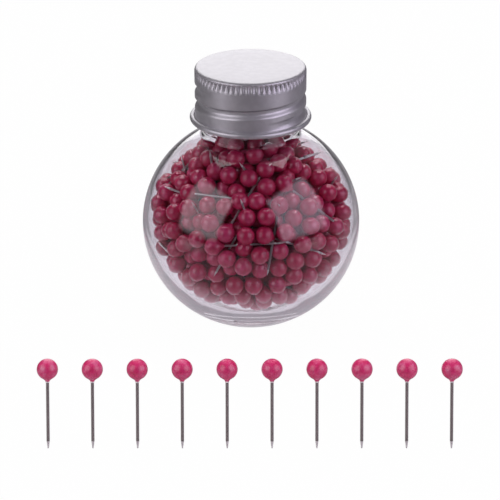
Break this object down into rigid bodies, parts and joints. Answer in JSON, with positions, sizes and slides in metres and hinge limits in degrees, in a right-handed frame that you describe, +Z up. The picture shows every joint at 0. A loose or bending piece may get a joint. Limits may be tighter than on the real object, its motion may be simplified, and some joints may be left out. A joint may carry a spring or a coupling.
{
  "type": "bottle of ball head pins",
  "caption": "Ball-shaped glass bottle with a threaded metal cap, filled with ball head pins, with loose pins standing in a row in front, for marking, pinning and sewing.",
  "frame": {"origin": "centre of the bottle's flat base", "axes": "+Z up along the bottle's axis, the row of loose pins along X on the -Y side"},
  "size_m": [0.09, 0.0919, 0.0628],
  "materials": {
    "bottle_glass": "clear polished glass",
    "cap_metal": "satin rolled aluminium",
    "liner_foam": "fine white foam",
    "pin_head": "pearly pink moulded plastic",
    "pin_steel": "drawn steel wire with a bright ground point"
  },
  "bodies": {
    "bottle": {"glass_bottle": "bottle_glass", "pin_heap": "pin_head"},
    "liner": {"cap_liner": "liner_foam"},
    "cap": {"cap_shell": "cap_metal"},
    "pin_01": {"pin_01_head": "pin_head", "pin_01_shaft": "pin_steel"},
    "pin_02": {"pin_02_head": "pin_head", "pin_02_shaft": "pin_steel"},
    "pin_03": {"pin_03_head": "pin_head", "pin_03_shaft": "pin_steel"},
    "pin_04": {"pin_04_head": "pin_head", "pin_04_shaft": "pin_steel"},
    "pin_05": {"pin_05_head": "pin_head", "pin_05_shaft": "pin_steel"},
    "pin_06": {"pin_06_head": "pin_head", "pin_06_shaft": "pin_steel"},
    "pin_07": {"pin_07_head": "pin_head", "pin_07_shaft": "pin_steel"},
    "pin_08": {"pin_08_head": "pin_head", "pin_08_shaft": "pin_steel"},
    "pin_09": {"pin_09_head": "pin_head", "pin_09_shaft": "pin_steel"},
    "pin_10": {"pin_10_head": "pin_head", "pin_10_shaft": "pin_steel"}
  },
  "joints": [
    {"name": "cap_rise", "type": "slide", "parent": "bottle", "child": "liner", "axis": [0, 0, 1], "range_m": [0, 0.0053]},
    {"name": "cap_turn", "type": "hinge", "parent": "liner", "child": "cap", "pos_m": [0, 0, 0.0563], "axis": [0, 0, 1], "range_deg": [0, 540]},
    {"name": "pin_01_draw", "type": "slide", "parent": "bottle", "child": "pin_01", "axis": [0, 0.342, 0.9397], "range_m": [0, 0.03]},
    {"name": "pin_02_draw", "type": "slide", "parent": "bottle", "child": "pin_02", "axis": [0, 0.342, 0.9397], "range_m": [0, 0.03]},
    {"name": "pin_03_draw", "type": "slide", "parent": "bottle", "child": "pin_03", "axis": [0, 0.342, 0.9397], "range_m": [0, 0.03]},
    {"name": "pin_04_draw", "type": "slide", "parent": "bottle", "child": "pin_04", "axis": [0, 0.342, 0.9397], "range_m": [0, 0.03]},
    {"name": "pin_05_draw", "type": "slide", "parent": "bottle", "child": "pin_05", "axis": [0, 0.342, 0.9397], "range_m": [0, 0.03]},
    {"name": "pin_06_draw", "type": "slide", "parent": "bottle", "child": "pin_06", "axis": [0, 0.342, 0.9397], "range_m": [0, 0.03]},
    {"name": "pin_07_draw", "type": "slide", "parent": "bottle", "child": "pin_07", "axis": [0, 0.342, 0.9397], "range_m": [0, 0.03]},
    {"name": "pin_08_draw", "type": "slide", "parent": "bottle", "child": "pin_08", "axis": [0, 0.342, 0.9397], "range_m": [0, 0.03]},
    {"name": "pin_09_draw", "type": "slide", "parent": "bottle", "child": "pin_09", "axis": [0, 0.342, 0.9397], "range_m": [0, 0.03]},
    {"name": "pin_10_draw", "type": "slide", "parent": "bottle", "child": "pin_10", "axis": [0, 0.342, 0.9397], "range_m": [0, 0.03]}
  ],
  "couplings": [
    {"joint": "cap_rise", "follows": "cap_turn", "m_per_rad": 0.00055704}
  ]
}
